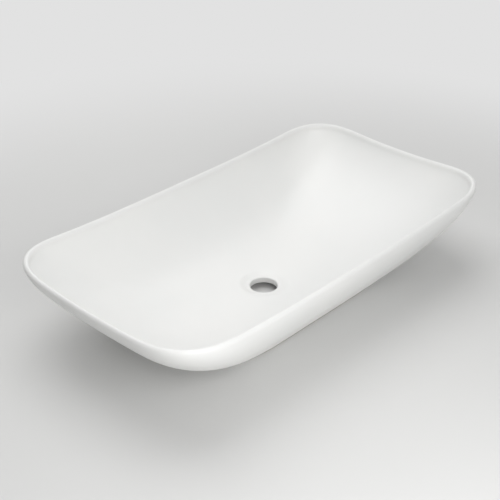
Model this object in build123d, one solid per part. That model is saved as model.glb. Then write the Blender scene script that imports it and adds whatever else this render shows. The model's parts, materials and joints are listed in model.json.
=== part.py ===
from build123d import *
from math import atan2, cos, pi, sin
import os

# Countertop basin in glazed china: one casting that stands loose on rubber pads.
# Millimetres, +Z up, origin on the counter under the middle of the basin.

# Plan of the rim
LENGTH = 735.0
WIDTH = 400.0
CORNER = 112.0  # reach of each soft corner along its two sides
CORNER_POWER = 2.8  # 2 is a plain arc, more is squarer

# Rim, which dips in the middle of all four sides
SIDE_RIM_HEIGHT = 141.5  # middle of a long side
END_RIM_HEIGHT = 143.5  # middle of a short end
CORNER_WAVE = 14.0  # a corner takes about half of it as lift
END_WAVE_POWER = 3.5  # keeps the long sides level until near the corners
RIM_THICKNESS = 9.5

# Outside wall, which sweeps in like a hull to the foot
FOOT_LENGTH = 400.0
FOOT_WIDTH = 230.0
FOOT_BAND = 2.0  # upright edge of the foot ring
HULL_POWER = 1.57  # 1 is a straight flare, more is rounder

# Bowl
DRAIN_HEIGHT = 19.5  # lip of the waste hole above the counter
BOWL_FLATNESS = 3.0  # higher keeps more of the bottom level
BOWL_STEEPNESS = 0.77  # lower stands the wall up sooner
DIMPLE_DIAMETER = 86.0
DIMPLE_DEPTH = 3.5

# Waste hole
WASTE_HOLE = 46.0
LIP_DIAMETER = 51.0  # level edge round the hole
LIP_ROUNDING = 2.0
WASTE_SEAT = 10.0  # from the lip down to the seat of the waste's back nut
BOSS_DIAMETER = 80.0

# Underside inside the foot ring
FOOT_RING_WIDTH = 16.0
RECESS_DRAFT = 1.5
RECESS_CHAMFER = 5.0  # between the ring's inner wall and the ceiling
FLOOR_THICKNESS = 11.0

# Rubber pads under the foot ring
PAD_DIAMETER = 12.0
PAD_HEIGHT = 1.5
PAD_CHAMFER = 0.4

# Fineness of the rings and of the skins between them
SIDE_STEPS = 3
CORNER_STEPS = 6
DIMPLE_RINGS = 5
BOWL_RINGS = 10
RIM_STRIPS = 6
HULL_RINGS = 7

RIM_RADIUS = RIM_THICKNESS / 2
DIMPLE_RADIUS = DIMPLE_DIAMETER / 2
BOWL_FLOOR = DRAIN_HEIGHT + DIMPLE_DEPTH
FOOT_TOP = PAD_HEIGHT + FOOT_BAND
CORNER_LIMIT = 0.97  # share of its half width that a corner may take
STRETCHES = 8  # corner, side, corner, side and so on round a plan
TINY = 1e-4
CORNER_SIGNS = ((1, 1), (-1, 1), (-1, -1), (1, -1), (1, 1))
PAD_CORNERS = ("back_right", "back_left", "front_left", "front_right")
UPRIGHT = (Align.CENTER, Align.CENTER, Align.MIN)


def between(low, high, share):
    return low + (high - low) * share


# Plans. A place runs round a plan from 0 to 8: an even number starts a corner, an odd
# one the side after it. Each plan gives x and y at a place.


def rounded_plan(half_length, half_width, corner, place):
    """Straight sides joined by corners that are a little squarer than arcs."""
    corner = min(corner, CORNER_LIMIT * half_width)
    number, share = divmod(place, 2)
    number = int(number) % 4
    turn = pi / 2 * (number + min(share, 1))
    slide = max(share - 1, 0)
    sign_x, sign_y = [between(*ends, slide) for ends in zip(*CORNER_SIGNS[number : number + 2])]
    squareness = abs(cos(turn)) ** CORNER_POWER + abs(sin(turn)) ** CORNER_POWER
    reach = corner / squareness ** (1 / CORNER_POWER)
    x = sign_x * (half_length - corner) + reach * cos(turn)
    y = sign_y * (half_width - corner) + reach * sin(turn)
    return x, y


def rim_plan(inset, place):
    return rounded_plan(LENGTH / 2 - inset, WIDTH / 2 - inset, CORNER - inset, place)


def foot_plan(inset, place):
    half_length = FOOT_LENGTH / 2 - inset
    half_width = FOOT_WIDTH / 2 - inset
    return rounded_plan(half_length, half_width, CORNER - inset, place)


def round_plan(radius, place):
    """Circle, with each place in the direction of the same place on the rim."""
    x, y = rim_plan(0, place)
    turn = atan2(y / WIDTH, x / LENGTH)
    return radius * cos(turn), radius * sin(turn)


def blend(first, second, share):
    return tuple(between(low, high, share) for low, high in zip(first, second))


def rim_top(place):
    """Height of the top of the rim."""
    x, y = rim_plan(0, place)
    end = abs(2 * x / LENGTH) ** END_WAVE_POWER
    side = (2 * y / WIDTH) ** 2
    return between(SIDE_RIM_HEIGHT, END_RIM_HEIGHT, end) + CORNER_WAVE * (end + side - 1)


# Rings and skins


def ring(spot):
    """Closed wire through spot(place), one smooth edge for each corner and side."""
    edges = []
    for number in range(STRETCHES):
        steps = SIDE_STEPS if number % 2 else CORNER_STEPS
        points = [Vector(*spot(number + step / steps)) for step in range(steps + 1)]
        start = Vector(*spot(number + TINY)) - points[0]
        end = points[-1] - Vector(*spot(number + 1 - TINY))
        tangents = [start.normalized(), end.normalized()]
        edges.append(Edge.make_spline(points, tangents=tangents))
    return Wire(edges)


def round_ring(radius, height):
    return ring(lambda place: (*round_plan(radius, place), height))


def foot_ring(inset, height):
    return ring(lambda place: (*foot_plan(inset, place), height))


def bowl_rise(spread):
    """Share of the bowl's depth at a spread from the dimple, at 0, to the rim, at 1."""
    return 1 - (1 - spread**BOWL_FLATNESS) ** BOWL_STEEPNESS


def bowl_ring(spread):
    def spot(place):
        plan = blend(round_plan(DIMPLE_RADIUS, place), rim_plan(RIM_THICKNESS, place), spread)
        return *plan, between(BOWL_FLOOR, rim_top(place) - RIM_RADIUS, bowl_rise(spread))

    return ring(spot)


def rim_ring(turn):
    """Ring on the rounded rim: turn 0 is its inside, pi its outside."""

    def spot(place):
        plan = rim_plan(RIM_RADIUS * (1 + cos(turn)), place)
        return *plan, rim_top(place) + RIM_RADIUS * (sin(turn) - 1)

    return ring(spot)


def hull_ring(rise):
    """Ring on the outside wall: rise 0 is the foot, 1 the outside of the rim."""

    def spot(place):
        spread = 1 - (1 - rise) ** HULL_POWER
        plan = blend(foot_plan(0, place), rim_plan(0, place), spread)
        return *plan, between(FOOT_TOP, rim_top(place) - RIM_RADIUS, rise)

    return ring(spot)


def dimple_skin():
    """Shallow dimple round the waste hole, and the level middle that the hole is cut in."""
    rings = []
    for number in range(DIMPLE_RINGS + 1):
        share = number / DIMPLE_RINGS
        radius = between(LIP_DIAMETER / 2, DIMPLE_RADIUS, share)
        rings.append(round_ring(radius, between(DRAIN_HEIGHT, BOWL_FLOOR, (1 - cos(pi * share)) / 2)))
    return [Face(rings[0])] + Shell.make_loft(rings).faces()


def bowl_skin():
    """Inside of the bowl, from the dimple up to the rim."""
    steps = [number / BOWL_RINGS for number in range(BOWL_RINGS + 1)]
    rings = [bowl_ring(sin(pi / 2 * step) ** (2 / BOWL_FLATNESS)) for step in steps]
    return Shell.make_loft(rings).faces()


def rim_skin():
    """Rounded top of the rim, in narrow strips."""
    faces = []
    for number in range(RIM_STRIPS):
        rings = [rim_ring(pi * (number + share) / RIM_STRIPS) for share in (0, 0.5, 1)]
        faces += Shell.make_loft(rings).faces()
    return faces


def hull_skin():
    """Outside wall from the rim to the foot, the upright foot band and the foot's face."""
    rings = [hull_ring(1 - number / HULL_RINGS) for number in range(HULL_RINGS + 1)]
    foot = foot_ring(0, PAD_HEIGHT)
    band = Shell.make_loft([rings[-1], foot], ruled=True)
    return Shell.make_loft(rings).faces() + band.faces() + [Face(foot)]


def bowl_space():
    """Space in the bowl above its floor, up past the rim."""
    rim = rim_ring(0)
    lid = ring(lambda place: (*rim_plan(RIM_THICKNESS, place), 2 * SIDE_RIM_HEIGHT))
    sides = Shell.make_loft([rim, lid], ruled=True)
    floor = Face(round_ring(DIMPLE_RADIUS, BOWL_FLOOR))
    return Solid(Shell(bowl_skin() + sides.faces() + [floor, Face(lid)]))


def recess():
    """Space inside the foot ring, whose ceiling follows the bowl."""
    opening = foot_ring(FOOT_RING_WIDTH, PAD_HEIGHT - 1)
    top = foot_ring(FOOT_RING_WIDTH + RECESS_DRAFT, BOWL_FLOOR + FLOOR_THICKNESS)
    space = Solid.make_loft([opening, top], ruled=True)
    space = space - Pos(0, 0, -FLOOR_THICKNESS) * bowl_space()
    lowest = BOWL_FLOOR - FLOOR_THICKNESS + 1
    outline = [edge for edge in space.edges() if edge.bounding_box().min.Z > lowest]
    return chamfer(outline, RECESS_CHAMFER)


def waste_boss():
    """Thickened seat round the waste hole, flat underneath."""
    seat = Pos(0, 0, DRAIN_HEIGHT - WASTE_SEAT)
    return seat * Cylinder(BOSS_DIAMETER / 2, FLOOR_THICKNESS, align=UPRIGHT)


def basin_body():
    shape = Solid(Shell(dimple_skin() + bowl_skin() + rim_skin() + hull_skin()))
    shape -= recess() - waste_boss()
    shape -= Cylinder(WASTE_HOLE / 2, 2 * DRAIN_HEIGHT, align=UPRIGHT)
    lip = shape.edges().filter_by(GeomType.CIRCLE).sort_by(Axis.Z)[-1]
    return fillet(lip, LIP_ROUNDING)


def foot_pad(quarter):
    """Rubber pad under a corner of the foot ring."""
    x, y = foot_plan(FOOT_RING_WIDTH / 2, 2 * quarter + 0.5)
    pad = Cylinder(PAD_DIAMETER / 2, PAD_HEIGHT, align=UPRIGHT)
    pad = chamfer(pad.edges().group_by(Axis.Z)[0], PAD_CHAMFER)
    return Pos(x, y, 0) * pad


parts = {"basin_body": basin_body()}
for quarter, corner in enumerate(PAD_CORNERS):
    parts[f"foot_pad_{corner}"] = foot_pad(quarter)

os.makedirs("parts", exist_ok=True)
for name, part in parts.items():
    export_step(part, f"parts/{name}.step")
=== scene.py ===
import json
from math import atan2, cos, pi, radians, sin

import bpy
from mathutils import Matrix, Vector
from mathutils.bvhtree import BVHTree


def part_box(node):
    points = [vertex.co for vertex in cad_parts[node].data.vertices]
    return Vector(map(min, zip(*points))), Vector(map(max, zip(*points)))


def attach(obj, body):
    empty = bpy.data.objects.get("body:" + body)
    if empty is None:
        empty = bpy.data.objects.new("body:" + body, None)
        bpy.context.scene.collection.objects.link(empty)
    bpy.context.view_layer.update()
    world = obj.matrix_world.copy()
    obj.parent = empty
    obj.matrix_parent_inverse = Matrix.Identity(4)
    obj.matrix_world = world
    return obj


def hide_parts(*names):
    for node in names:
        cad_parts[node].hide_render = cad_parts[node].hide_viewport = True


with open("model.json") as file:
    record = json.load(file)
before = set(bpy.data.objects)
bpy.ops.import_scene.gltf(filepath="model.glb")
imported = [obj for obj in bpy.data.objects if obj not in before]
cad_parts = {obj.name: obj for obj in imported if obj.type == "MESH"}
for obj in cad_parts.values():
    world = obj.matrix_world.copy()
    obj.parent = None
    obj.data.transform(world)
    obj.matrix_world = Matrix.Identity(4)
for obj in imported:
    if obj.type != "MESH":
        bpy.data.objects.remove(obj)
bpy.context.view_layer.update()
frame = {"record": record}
CHINA_LOW, CHINA_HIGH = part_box("basin_body")
WASTE_HOLE = next(mount for mount in frame["record"]["mounts"] if mount["name"] == "waste_hole")
PAD_CORNERS = ("back_right", "back_left", "front_left", "front_right")
CORNER_LIMIT = 0.97  # share of its half width that a corner may take

# Fineness of each noise, in cells to a metre
NOISE_SCALES = {
    "cloud": 1.5,
    "pooling": 5,
    "ripple": 13,
    "breath": 14,
    "thinning_and_shade": 40,
    "wipe line": 160,
    "peel": 330,
    "dust": 600,
    "sand": 900,
}

bl_info = {
    "name": "Countertop Basin",
    "version": (1, 0, 0),
    "blender": (4, 5, 0),
    "location": "View3D > Sidebar > Basin",
    "description": "A glazed china basin that stands on rubber pads",
    "category": "Object",
}


def length(label, words, default, **limits):
    """A length that a user can change."""
    return bpy.props.FloatProperty(
        name=label, description=words, default=default, unit="LENGTH", precision=4, **limits
    )


def colour(label, words, default):
    return bpy.props.FloatVectorProperty(
        name=label, description=words, default=default, subtype="COLOR", min=0, max=1
    )


def factor(label, words, default):
    return bpy.props.FloatProperty(
        name=label, description=words, default=default, subtype="FACTOR", min=0, max=1
    )


def number(label, words, default):
    return bpy.props.FloatProperty(name=label, description=words, default=default)


class BASIN_PG_shape(bpy.types.PropertyGroup):
    """Sizes of the china casting."""

    rim_length: length("Length", "Length over the rim", CHINA_HIGH.x - CHINA_LOW.x)
    rim_width: length("Width", "Width over the rim", CHINA_HIGH.y - CHINA_LOW.y)
    corner: length("Corner", "Reach of a soft corner along its two sides", 0.112)
    corner_power: number("Corner squareness", "2 is a plain arc, more is squarer", 2.8)
    side_rim: length("Side rim height", "Rim height in the middle of a long side", 0.1415)
    end_rim: length("End rim height", "Rim height in the middle of a short end", 0.1435)
    wave: length("Corner wave", "A corner takes about half of it as lift", 0.014)
    wave_power: number("End wave power", "Keeps the long sides level near their middle", 3.5)
    rim_thickness: length("Rim thickness", "Thickness of the rounded rim", 0.0095)
    rim_roll: length("Rim roll", "Height over which the inside wall rolls over to the rim", 0.009)
    foot_length: length("Foot length", "Length of the foot ring", 0.4)
    foot_width: length("Foot width", "Width of the foot ring", 0.23)
    foot_band: length("Foot band", "Upright edge of the foot ring", 0.002)
    foot_ring: length("Foot ring", "Width of the foot ring's face", 0.016)
    foot_height: length("Foot height", "Foot ring's face above the counter", CHINA_LOW.z)
    hull_power: number("Hull roundness", "1 is a straight flare, more is rounder", 1.57)
    drain_height: length("Drain height", "Lip of the waste hole above the counter", 0.0195)
    flatness: number("Bowl flatness", "Higher keeps more of the bottom level", 3.0)
    steepness: number("Bowl steepness", "Lower stands the wall up sooner", 0.77)
    dimple: length("Dimple", "Diameter of the dimple round the waste hole", 0.086)
    dimple_depth: length("Dimple depth", "Depth of that dimple", 0.0035)
    hole: length("Waste hole", "Diameter of the hole", WASTE_HOLE["dims"]["r_mm"] * 0.002)
    lip: length("Lip", "Diameter of the level edge round the hole", 0.051)
    lip_rounding: length("Lip rounding", "Radius of the hole's upper edge", 0.002)
    seat: length("Waste seat", "From the lip down to the seat of the back nut", 0.01)
    boss: length("Boss", "Diameter of the seat of the back nut", 0.08)
    floor: length("Floor", "Thickness of the bowl's floor", 0.011)
    draft: length("Draft", "How far the recess under the bowl draws in", 0.0015)
    recess_rounding: length("Recess rounding", "Radius under the edge of the floor", 0.005)
    edge: length("Edges", "Radius of the foot's and the seat's edges", 0.0008)


class BASIN_PG_glaze(bpy.types.PropertyGroup):
    """Colours and gloss of the china."""

    white: colour("Glaze", "The glaze where it is thick", (0.84, 0.84, 0.825))
    cool: colour("Cool glaze", "The glaze where it pools", (0.82, 0.824, 0.812))
    # Thin glaze colour: real thinning on the edges, and painted shade where it darkens the up-facing
    # crest of the rim
    thin_and_shade: colour("Thin glaze", "The glaze where it runs thin on an edge", (0.775, 0.772, 0.76))
    bare: colour("Bare china", "The wiped foot ring", (0.62, 0.58, 0.51))
    gloss: factor("Glaze roughness", "Roughness of the glaze", 0.4)
    matt: factor("Bare roughness", "Roughness of the bare china", 0.85)
    ripple: length("Ripple", "Height of the glaze's slow ripple", 0.00012)
    peel: length("Peel", "Height of the fine waves in the glaze", 0.000004)
    grain: length("Grain", "Height of the grain of the bare china", 0.00004)
    wipe: length("Wipe line", "How far the glaze stops above the foot ring's face", 0.0009)


class BASIN_PG_pads(bpy.types.PropertyGroup):
    """Rubber pads under the foot ring."""

    tint: colour("Rubber", "Colour of the clear rubber", (0.66, 0.68, 0.67))
    clearness: factor("Clearness", "How much light goes through the rubber", 0.55)
    rounding: length("Rounding", "Radius of a pad's lower edge", 0.0004)


class BASIN_PG_stage(bpy.types.PropertyGroup):
    """Floor, lamps and camera."""

    floor: colour("Floor", "Colour of the floor", (0.7, 0.7, 0.692))
    top_power: bpy.props.FloatProperty(
        name="Top lamp", description="Power of the lamp above", default=20.5, unit="POWER"
    )
    front_power: bpy.props.FloatProperty(
        name="Front lamp", description="Power of the lamp in front", default=9.0, unit="POWER"
    )
    back_power: bpy.props.FloatProperty(
        name="Back lamp", description="Power of the lamp behind", default=6.0, unit="POWER"
    )
    sky: factor("Sky", "Light from above", 0.38)
    horizon: factor("Horizon", "Light from low down all round", 0.0)
    backdrop: factor("Backdrop", "Paleness of the distance that the camera sees", 0.76)
    fade_start: length("Fade start", "Where the floor starts to fade into the backdrop", 0.55)
    fade_end: length("Fade end", "Where the floor has faded into the backdrop", 1.15)
    azimuth: number("Azimuth", "Camera's turn round the basin, in degrees", -46.6)
    elevation: number("Elevation", "Camera's height above the horizon, in degrees", 30.57)
    distance: length("Distance", "From the camera to the point it looks at", 1.8336)
    aim: bpy.props.FloatVectorProperty(
        name="Aim",
        description="Point that the camera looks at",
        default=(0.067, 0.0949, 0.0195),
        subtype="XYZ",
        unit="LENGTH",
    )
    lens: bpy.props.FloatProperty(
        name="Lens", description="Focal length on a 36 mm sensor", default=74.95, unit="CAMERA"
    )


def between(low, high, share):
    return low + (high - low) * share


def blend(first, second, share):
    return [between(low, high, share) for low, high in zip(first, second)]


class BasinForm:
    """The casting's plans and heights. A place runs round a plan from 0 to 8: an even
    number starts a corner, an odd one the side after it."""

    SIGNS = ((1, 1), (-1, 1), (-1, -1), (1, -1), (1, 1))

    def __init__(self, shape):
        self.shape = shape
        self.rim_radius = shape.rim_thickness / 2
        self.bowl_floor = shape.drain_height + shape.dimple_depth
        self.foot_top = shape.foot_height + shape.foot_band

    def rounded(self, half_length, half_width, corner, place):
        """Straight sides joined by corners that are a little squarer than arcs."""
        power = self.shape.corner_power
        corner = min(corner, CORNER_LIMIT * half_width)
        number, share = divmod(place, 2)
        number = int(number) % 4
        turn = pi / 2 * (number + min(share, 1))
        sign_x, sign_y = blend(self.SIGNS[number], self.SIGNS[number + 1], max(share - 1, 0))
        reach = corner / (abs(cos(turn)) ** power + abs(sin(turn)) ** power) ** (1 / power)
        x = sign_x * (half_length - corner) + reach * cos(turn)
        return x, sign_y * (half_width - corner) + reach * sin(turn)

    def rim_plan(self, inset, place):
        shape = self.shape
        sides = shape.rim_length / 2 - inset, shape.rim_width / 2 - inset
        return self.rounded(*sides, shape.corner - inset, place)

    def foot_plan(self, inset, place):
        shape = self.shape
        sides = shape.foot_length / 2 - inset, shape.foot_width / 2 - inset
        return self.rounded(*sides, shape.corner - inset, place)

    def round_plan(self, radius, place):
        """Circle, with each place in the direction of the same place on the rim."""
        x, y = self.rim_plan(0, place)
        turn = atan2(y / self.shape.rim_width, x / self.shape.rim_length)
        return radius * cos(turn), radius * sin(turn)

    def rim_top(self, place):
        shape = self.shape
        x, y = self.rim_plan(0, place)
        end = abs(2 * x / shape.rim_length) ** shape.wave_power
        side = (2 * y / shape.rim_width) ** 2
        return between(shape.side_rim, shape.end_rim, end) + shape.wave * (end + side - 1)

    def foot_spot(self, inset, height):
        return lambda place: (*self.foot_plan(inset, place), height)

    def round_spot(self, radius, height):
        return lambda place: (*self.round_plan(radius, place), height)

    def rim_spot(self, turn):
        """On the rounded rim: turn 0 is its inside, pi its outside."""
        inset = self.rim_radius * (1 + cos(turn))
        drop = (self.shape.rim_roll if cos(turn) > 0 else self.rim_radius) * (1 - sin(turn))
        return lambda place: (*self.rim_plan(inset, place), self.rim_top(place) - drop)

    def hull_spot(self, rise):
        """On the outside wall: rise 0 is the foot, 1 the outside of the rim."""
        spread = 1 - (1 - rise) ** self.shape.hull_power

        def spot(place):
            plan = blend(self.foot_plan(0, place), self.rim_plan(0, place), spread)
            return *plan, between(self.foot_top, self.rim_top(place) - self.rim_radius, rise)

        return spot

    def bowl_spot(self, step):
        """Inside the bowl: step 0 is the edge of the dimple, 1 the inside of the rim."""
        shape = self.shape
        spread = sin(pi / 2 * step) ** (2 / shape.flatness)
        rise = 1 - (1 - spread**shape.flatness) ** shape.steepness

        def spot(place):
            inner = self.round_plan(shape.dimple / 2, place)
            plan = blend(inner, self.rim_plan(shape.rim_thickness, place), spread)
            return *plan, between(self.bowl_floor, self.rim_top(place) - shape.rim_roll, rise)

        return spot

    def dimple_spot(self, share):
        """In the dimple: share 0 is the level edge of the hole, 1 the dimple's outside."""
        shape = self.shape
        fall = (1 + cos(pi * share)) / 2
        radius = between(shape.lip, shape.dimple, share) / 2
        return self.round_spot(radius, self.bowl_floor - shape.dimple_depth * fall)


def steps(count, first=0.0, last=1.0):
    """Evenly spaced shares from the first to the last, both included."""
    return [between(first, last, number / count) for number in range(count + 1)]


def arc(count, radius, start, end):
    """Offsets (across, up) along an arc about its own centre."""
    turns = steps(count, start, end)
    return [(radius * cos(turn), radius * sin(turn)) for turn in turns]


def wall_faces(rows, columns, closed=False):
    """Faces between rings of points, and from the last ring to the first if closed."""
    faces = []
    for row in range(rows if closed else rows - 1):
        here, there = row * columns, (row + 1) % rows * columns
        for column in range(columns):
            beside = (column + 1) % columns
            faces.append((here + column, here + beside, there + beside, there + column))
    return faces


class Loft:
    """Closed mesh whose rings run through spots, each with a share of thin glaze and painted shade."""

    def __init__(self, places):
        self.places = places
        self.rings = []
        self.thinness_and_shade = []

    def add(self, spots, thin_and_shade=0.0):
        for spot in spots:
            self.rings.append([spot(place) for place in self.places])
            self.thinness_and_shade.append(thin_and_shade)

    def points(self):
        return [point for ring in self.rings for point in ring]

    def mesh(self, name):
        faces = wall_faces(len(self.rings), len(self.places), closed=True)
        points = self.points()
        mesh = bpy.data.meshes.new(name)
        mesh.from_pydata(points, [], faces)
        thin_and_shade = mesh.attributes.new("thin_glaze", "FLOAT", "POINT")
        thin_and_shade.data.foreach_set("value", [value for value in self.thinness_and_shade for _ in self.places])
        mesh.shade_smooth()
        mesh.update()
        return mesh


def place_piece(mesh, name, nodes, material):
    """Links a piece that rides on the basin and stands for its CAD nodes."""
    piece = bpy.data.objects.new(name, mesh)
    bpy.context.scene.collection.objects.link(piece)
    piece.data.materials.append(material)
    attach(piece, "root")
    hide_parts(*nodes)
    return piece


class Value:
    """A socket. Sums on it add Math nodes."""

    def __init__(self, nodes, socket):
        self.nodes = nodes
        self.socket = socket

    def sum(self, operation, first, second):
        return self.nodes.add("ShaderNodeMath", {"operation": operation}, {0: first, 1: second})

    def __add__(self, other):
        return self.sum("ADD", self, other)

    def __radd__(self, other):
        return self.sum("ADD", other, self)

    def __sub__(self, other):
        return self.sum("SUBTRACT", self, other)

    def __rsub__(self, other):
        return self.sum("SUBTRACT", other, self)

    def __mul__(self, other):
        return self.sum("MULTIPLY", self, other)

    def __rmul__(self, other):
        return self.sum("MULTIPLY", other, self)


class Nodes:
    """A node tree that is filled from empty."""

    def __init__(self, tree):
        self.tree = tree
        tree.nodes.clear()

    def add(self, kind, settings=None, sockets=None, output=0):
        """Adds a node, with its settings first, and returns one of its outputs."""
        node = self.tree.nodes.new(kind)
        for name, value in (settings or {}).items():
            setattr(node, name, value)
        for name, value in (sockets or {}).items():
            if isinstance(value, Value):
                self.tree.links.new(value.socket, node.inputs[name])
            else:
                node.inputs[name].default_value = value
        return Value(self, node.outputs[output]) if node.outputs else None

    def noise(self, place, use, detail=2.0):
        sockets = {"Vector": place, "Scale": NOISE_SCALES[use], "Detail": detail}
        return self.add("ShaderNodeTexNoise", sockets=sockets)

    def mix(self, first, second, share):
        sockets = {0: share, 6: first, 7: second}
        settings = {"data_type": "RGBA"}
        return self.add("ShaderNodeMix", settings, sockets, output=2)

    def ease(self, value, low, high, start=0.0, end=1.0):
        """Goes smoothly from start to end while the value goes from low to high."""
        settings = {"interpolation_type": "SMOOTHSTEP"}
        sockets = {"Value": value, "From Min": low, "From Max": high, "To Min": start, "To Max": end}
        return self.add("ShaderNodeMapRange", settings, sockets)

    def shown_rays(self):
        """1 for the rays that show the surroundings to the camera, 0 for those that light."""
        shown = 0.0
        for ray in ("Is Camera Ray", "Is Glossy Ray", "Is Transmission Ray"):
            shown = shown + self.add("ShaderNodeLightPath", output=ray)
        return self.ease(shown, 0.0, 1.0)

    def bump(self, height):
        return self.add("ShaderNodeBump", sockets={"Distance": 1.0, "Height": height})

    def surface(self, shader):
        self.add("ShaderNodeOutputMaterial", sockets={"Surface": shader})


def new_material(name):
    material = bpy.data.materials.new(name)
    material.use_nodes = True
    return material


def opaque(tint, share=1.0):
    """The colour with an alpha of 1, darkened to a share of itself."""
    return (*(share * part for part in tint), 1.0)


def china_material(glaze, shape):
    """White glaze that thins on the edges and carries painted shade on the crest of the rim, over a
    bare wiped foot ring.
    """
    material = new_material("glazed_china")
    nodes = Nodes(material.node_tree)
    place = nodes.add("ShaderNodeTexCoord", output="Object")
    height = nodes.add("ShaderNodeSeparateXYZ", sockets={0: place}, output="Z")
    waver = 0.0008 * (nodes.noise(place, "wipe line") - 0.5)
    wipe_line = shape.foot_height + glaze.wipe
    blur = 0.0002
    glazed = nodes.ease(height + waver, wipe_line - blur, wipe_line + blur)
    pooling = nodes.ease(nodes.noise(place, "pooling", 3), 0.35, 0.7)
    # Edge mask: thin glaze on the edges, and on the rim's up-facing crest also painted shade that dims
    # it against the light from above
    edge = nodes.add("ShaderNodeAttribute", {"attribute_name": "thin_glaze"}, output="Fac")
    thinning_and_shade = edge * nodes.ease(nodes.noise(place, "thinning_and_shade", 3), 0.3, 0.75, 0.35, 0.8)
    tint = nodes.mix(opaque(glaze.white), opaque(glaze.cool), pooling)
    # Mixes in the thin glaze colour, which is partly painted shade on the rim's crest
    tint = nodes.mix(tint, opaque(glaze.thin_and_shade), thinning_and_shade)
    sand = nodes.noise(place, "sand", 4)
    clay = nodes.mix(opaque(glaze.bare), opaque(glaze.bare, 0.9), sand)
    breath = nodes.noise(place, "breath", 4)
    sheen = glaze.gloss + 0.05 * (breath - 0.5) + 0.06 * thinning_and_shade
    relief = glaze.ripple * nodes.noise(place, "ripple", 1)
    relief = relief + glaze.peel * nodes.noise(place, "peel", 1)
    relief = relief * glazed + glaze.grain * sand * (1 - glazed)
    shader = nodes.add(
        "ShaderNodeBsdfPrincipled",
        sockets={
            "Base Color": nodes.mix(clay, tint, glazed),
            "Roughness": glaze.matt + glazed * (sheen - glaze.matt),
            "IOR": 1.5,
            "Coat Weight": 0.1 * glazed,
            "Coat Roughness": 0.3,
            "Normal": nodes.bump(relief),
        },
    )
    nodes.surface(shader)
    return material


def rubber_material(pads):
    """Clear soft rubber with a little dust in it."""
    material = new_material("pad_rubber")
    nodes = Nodes(material.node_tree)
    place = nodes.add("ShaderNodeTexCoord", output="Object")
    dust = nodes.ease(nodes.noise(place, "dust", 4), 0.4, 0.75)
    shader = nodes.add(
        "ShaderNodeBsdfPrincipled",
        sockets={
            "Base Color": nodes.mix(opaque(pads.tint), opaque(pads.tint, 0.85), dust),
            "Roughness": 0.32 + 0.25 * dust,
            "IOR": 1.49,
            "Transmission Weight": pads.clearness,
            "Normal": nodes.bump(0.00001 * dust),
        },
    )
    nodes.surface(shader)
    return material


def floor_material(stage):
    """Plain pale floor that fades into the surroundings in the distance."""
    material = new_material("floor")
    nodes = Nodes(material.node_tree)
    place = nodes.add("ShaderNodeTexCoord", output="Object")
    cloud = nodes.noise(place, "cloud", 3)
    shader = nodes.add(
        "ShaderNodeBsdfPrincipled",
        sockets={
            "Base Color": nodes.mix(opaque(stage.floor), opaque(stage.floor, 0.97), cloud),
            "Roughness": 0.7,
            "IOR": 1.3,
        },
    )
    away = nodes.add("ShaderNodeVectorMath", {"operation": "LENGTH"}, {0: place}, output="Value")
    fade = nodes.ease(away, stage.fade_start, stage.fade_end) * nodes.shown_rays()
    haze = nodes.add("ShaderNodeEmission", sockets={"Strength": stage.backdrop})
    nodes.surface(nodes.add("ShaderNodeMixShader", sockets={0: fade, 1: shader, 2: haze}))
    return material


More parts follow.
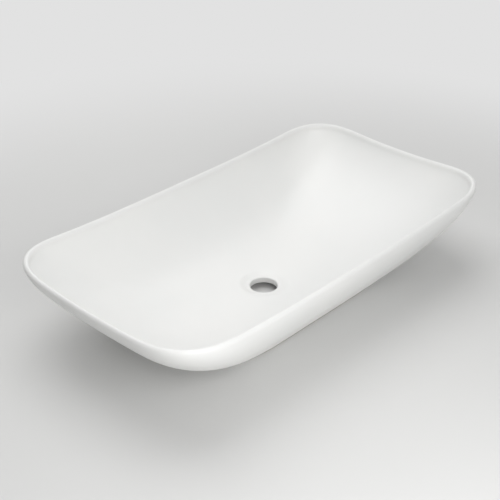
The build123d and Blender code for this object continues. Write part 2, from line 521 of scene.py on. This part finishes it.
class BASIN_OT_china(bpy.types.Operator):
    """Makes the glazed china casting"""

    bl_idname = "basin.china"
    bl_label = "China casting"
    bl_options = {"REGISTER", "UNDO"}

    CORNER_COLUMNS = 26
    SIDE_COLUMNS = 14
    HULL_ROWS = 30
    RIM_ROWS = 16
    BOWL_ROWS = 44
    DIMPLE_ROWS = 8
    LIP_ROWS = 6
    CEILING_ROWS = 40
    CEILING_SHARES = (0.0, 0.03, 0.1, 0.25, 0.45, 0.65, 0.82, 0.94, 1.0)
    BOSS_SIDE = 0.0018  # upright side of the boss
    BOSS_GAP = 0.0006  # from that side out to the ceiling
    WALL_TOP = 0.0105  # top of the recess's inner wall

    def places(self):
        places = []
        for quarter in range(4):
            places += [2 * quarter + share for share in steps(self.CORNER_COLUMNS)[:-1]]
            places += [2 * quarter + 1 + share for share in steps(self.SIDE_COLUMNS)[:-1]]
        return places

    def floor_under(self, form, places):
        """Finds the underside's height at a point, one floor thickness under the bowl."""
        bowl = Loft(places)
        bowl.add(form.bowl_spot(step) for step in steps(self.CEILING_ROWS))
        count = len(places)
        middle = (0, 0, form.bowl_floor)
        points = [*bowl.points(), middle]
        faces = wall_faces(len(bowl.rings), count)
        faces += [(len(points) - 1, column, (column + 1) % count) for column in range(count)]
        tree = BVHTree.FromPolygons(points, faces)

        def height(x, y):
            return tree.ray_cast(Vector((x, y, 1)), Vector((0, 0, -1)))[0].z - form.shape.floor

        return height

    def underside(self, form, loft):
        """Seat of the back nut, underside of the floor and inner wall of the foot ring."""
        shape = form.shape
        seat = shape.drain_height - shape.seat
        hole, boss, edge = shape.hole / 2, shape.boss / 2, shape.edge
        floor = self.floor_under(form, loft.places)
        rounding = arc(3, edge, pi, 1.5 * pi)
        loft.add(form.round_spot(hole + edge + dx, seat + edge + dz) for dx, dz in rounding)
        loft.add(form.round_spot(between(hole, boss, share), seat) for share in (0.2, 0.5, 0.8))
        rounding = arc(3, edge, -pi / 2, 0)
        loft.add(form.round_spot(boss - edge + dx, seat + edge + dz) for dx, dz in rounding)
        loft.add([form.round_spot(boss, seat + self.BOSS_SIDE)])
        wall = shape.foot_ring + shape.draft
        radius = shape.recess_rounding

        def ceiling_spot(share):
            def spot(place):
                inner = form.round_plan(boss + self.BOSS_GAP, place)
                x, y = blend(inner, form.foot_plan(wall + radius, place), share)
                return x, y, floor(x, y)

            return spot

        def corner_spot(turn):
            def spot(place):
                x, y = form.foot_plan(wall + radius * (1 - sin(turn)), place)
                edge_x, edge_y = form.foot_plan(wall + radius, place)
                return x, y, floor(edge_x, edge_y) - radius * (1 - cos(turn))

            return spot

        loft.add(ceiling_spot(share) for share in self.CEILING_SHARES)
        loft.add(corner_spot(turn) for turn in steps(6, 0, pi / 2)[1:])
        for share in (0.6, 0.2):
            height = between(shape.foot_height + edge, self.WALL_TOP, share)
            loft.add([form.foot_spot(shape.foot_ring + shape.draft * share, height)])

    def foot(self, form, loft):
        """Wiped face of the foot ring, with its rounded edges and upright band."""
        shape = form.shape
        low, edge, ring = shape.foot_height, shape.edge, shape.foot_ring
        rounding = arc(4, edge, 0, -pi / 2)
        loft.add(form.foot_spot(ring - edge - dx, low + edge + dz) for dx, dz in rounding)
        loft.add(form.foot_spot(ring * share, low) for share in (0.8, 0.5, 0.2))
        rounding = arc(4, edge, -pi / 2, -pi)
        loft.add(form.foot_spot(edge + dx, low + edge + dz) for dx, dz in rounding)
        loft.add([form.foot_spot(0, form.foot_top - 0.0005)])

    def execute(self, context):
        shape = context.scene.basin_shape
        form = BasinForm(shape)
        loft = Loft(self.places())
        self.underside(form, loft)
        self.foot(form, loft)
        loft.add(form.hull_spot(rise) for rise in (0.002, 0.006, 0.015))
        loft.add(form.hull_spot(rise) for rise in steps(self.HULL_ROWS, 0.03, 1)[:-1])
        for turn in steps(self.RIM_ROWS, pi, 0):
            # Thin glaze peaks on the rim's up-facing crest: partly real thinning, partly painted shade
            # that dims its top-lit brightness
            loft.add([form.rim_spot(turn)], thin_and_shade=max(0.0, sin(turn)) ** 2)
        loft.add(form.bowl_spot(step) for step in steps(self.BOWL_ROWS, 1, 0)[1:])
        loft.add(form.dimple_spot(share) for share in steps(self.DIMPLE_ROWS, 1, 0)[1:])
        rounding, hole = shape.lip_rounding, shape.hole / 2
        for dx, dz in arc(self.LIP_ROWS, rounding, pi / 2, pi):
            spot = form.round_spot(hole + rounding + dx, shape.drain_height - rounding + dz)
            loft.add([spot], thin_and_shade=0.8)
        wall = shape.drain_height - rounding, shape.drain_height - shape.seat + shape.edge
        loft.add(form.round_spot(hole, between(*wall, share)) for share in (0.15, 0.5, 0.85))
        mesh = loft.mesh("china_basin")
        material = china_material(context.scene.basin_glaze, shape)
        place_piece(mesh, "china_basin", ["basin_body"], material)
        return {"FINISHED"}


class BASIN_OT_pads(bpy.types.Operator):
    """Makes the rubber pads under the foot ring"""

    bl_idname = "basin.pads"
    bl_label = "Rubber pads"
    bl_options = {"REGISTER", "UNDO"}

    COLUMNS = 40
    DISH = 0.0002  # depth of the dished underside
    BREAK = 0.0001  # broken upper edge

    def pad_mesh(self, name, low, high, rounding):
        """Round pad, flat on top, with a rounded lower edge and a dished underside."""
        middle = (low + high) / 2
        radius = (high.x - low.x) / 2
        profile = [(radius * share, low.z + self.DISH * (1 - share)) for share in (0.3, 0.6, 0.85)]
        for dx, dz in arc(5, rounding, -pi / 2, 0):
            profile.append((radius - rounding + dx, low.z + rounding + dz))
        profile += [(radius, high.z - self.BREAK), (radius - self.BREAK, high.z)]
        profile.append((radius * 0.5, high.z))
        points = []
        for reach, height in profile:
            for number in range(self.COLUMNS):
                turn = 2 * pi * number / self.COLUMNS
                points.append((middle.x + reach * cos(turn), middle.y + reach * sin(turn), height))
        faces = wall_faces(len(profile), self.COLUMNS)
        bottom = list(range(self.COLUMNS))
        top = [len(points) - self.COLUMNS + number for number in bottom]
        faces += [bottom[::-1], top]
        mesh = bpy.data.meshes.new(name)
        mesh.from_pydata(points, [], faces)
        mesh.shade_smooth()
        return mesh

    def execute(self, context):
        pads = context.scene.basin_pads
        material = rubber_material(pads)
        for corner in PAD_CORNERS:
            low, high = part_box(f"foot_pad_{corner}")
            mesh = self.pad_mesh(f"pad_{corner}", low, high, pads.rounding)
            place_piece(mesh, f"pad_{corner}", [f"foot_pad_{corner}"], material)
        return {"FINISHED"}


class BASIN_OT_stage(bpy.types.Operator):
    """Makes the floor, the lamps, the surroundings and the camera"""

    bl_idname = "basin.stage"
    bl_label = "Stage"
    bl_options = {"REGISTER", "UNDO"}

    FLOOR_REACH = 8
    LAMP_AIM = (0, 0, 0.1)
    # Each lamp has a name, the setting of its power, its size and its place
    LAMPS = (
        ("top_lamp", "top_power", (1.8, 1.8), (0.2, 0.6, 1.95)),
        ("front_lamp", "front_power", (1.0, 0.8), (-0.55, -1.0, 0.58)),
        ("back_lamp", "back_power", (1.4, 1.0), (1.0, 1.5, 1.0)),
    )

    def lamp(self, name, power, size, place):
        lamp = bpy.data.lights.new(name, "AREA")
        lamp.energy = power
        lamp.shape = "RECTANGLE"
        lamp.size, lamp.size_y = size
        lamp_object = bpy.data.objects.new(name, lamp)
        lamp_object.location = place
        beam = Vector(self.LAMP_AIM) - Vector(place)
        lamp_object.rotation_euler = beam.to_track_quat("-Z", "Y").to_euler()
        lamp_object.visible_camera = False
        bpy.context.scene.collection.objects.link(lamp_object)

    def surroundings(self, stage):
        """Pale backdrop for the rays that show it, and a dimmer sky for the rest."""
        world = bpy.data.worlds.new("surroundings")
        bpy.context.scene.world = world
        world.use_nodes = True
        nodes = Nodes(world.node_tree)
        direction = nodes.add("ShaderNodeTexCoord", output="Generated")
        upward = nodes.add("ShaderNodeSeparateXYZ", sockets={0: direction}, output="Z")
        ambient = nodes.ease(upward, 0.0, 0.6, stage.horizon, stage.sky)
        strength = ambient + (stage.backdrop - ambient) * nodes.shown_rays()
        light = nodes.add("ShaderNodeBackground", sockets={"Color": (1, 1, 1, 1), "Strength": strength})
        nodes.add("ShaderNodeOutputWorld", sockets={"Surface": light})

    def camera(self, stage):
        azimuth, elevation = radians(stage.azimuth), radians(stage.elevation)
        back = Vector((sin(azimuth) * cos(elevation), -cos(azimuth) * cos(elevation), sin(elevation)))
        camera = bpy.data.objects.new("camera", bpy.data.cameras.new("camera"))
        camera.data.lens = stage.lens
        camera.data.sensor_width = 36
        camera.location = Vector(stage.aim) + back * stage.distance
        camera.rotation_euler = (-back).to_track_quat("-Z", "Y").to_euler()
        bpy.context.scene.collection.objects.link(camera)
        bpy.context.scene.camera = camera

    def execute(self, context):
        stage = context.scene.basin_stage
        mesh = bpy.data.meshes.new("floor")
        reach = self.FLOOR_REACH
        corners = [(-reach, -reach, 0), (reach, -reach, 0), (reach, reach, 0), (-reach, reach, 0)]
        mesh.from_pydata(corners, [], [(0, 1, 2, 3)])
        floor = bpy.data.objects.new("floor", mesh)
        floor.data.materials.append(floor_material(stage))
        context.scene.collection.objects.link(floor)
        for name, power, size, place in self.LAMPS:
            self.lamp(name, getattr(stage, power), size, place)
        self.surroundings(stage)
        self.camera(stage)
        context.scene.view_settings.view_transform = "Standard"
        return {"FINISHED"}


class BASIN_PT_sidebar(bpy.types.Panel):
    """Sizes, finishes and makers of the basin"""

    bl_idname = "BASIN_PT_sidebar"
    bl_label = "Countertop Basin"
    bl_space_type = "VIEW_3D"
    bl_region_type = "UI"
    bl_category = "Basin"

    def draw(self, context):
        scene = context.scene
        layout = self.layout
        for settings, maker in (
            (scene.basin_shape, BASIN_OT_china),
            (scene.basin_glaze, BASIN_OT_china),
            (scene.basin_pads, BASIN_OT_pads),
            (scene.basin_stage, BASIN_OT_stage),
        ):
            box = layout.box()
            for name in settings.__annotations__:
                box.prop(settings, name)
            box.operator(maker.bl_idname)


GROUPS = {
    "basin_shape": BASIN_PG_shape,
    "basin_glaze": BASIN_PG_glaze,
    "basin_pads": BASIN_PG_pads,
    "basin_stage": BASIN_PG_stage,
}
CLASSES = (*GROUPS.values(), BASIN_OT_china, BASIN_OT_pads, BASIN_OT_stage, BASIN_PT_sidebar)


def register():
    for cls in CLASSES:
        bpy.utils.register_class(cls)
    for name, group in GROUPS.items():
        setattr(bpy.types.Scene, name, bpy.props.PointerProperty(type=group))


def unregister():
    for name in GROUPS:
        delattr(bpy.types.Scene, name)
    for cls in reversed(CLASSES):
        bpy.utils.unregister_class(cls)


def main():
    register()
    bpy.ops.basin.china()
    bpy.ops.basin.pads()
    bpy.ops.basin.stage()
    bpy.context.view_layer.update()


if __name__ == "__main__":
    main()
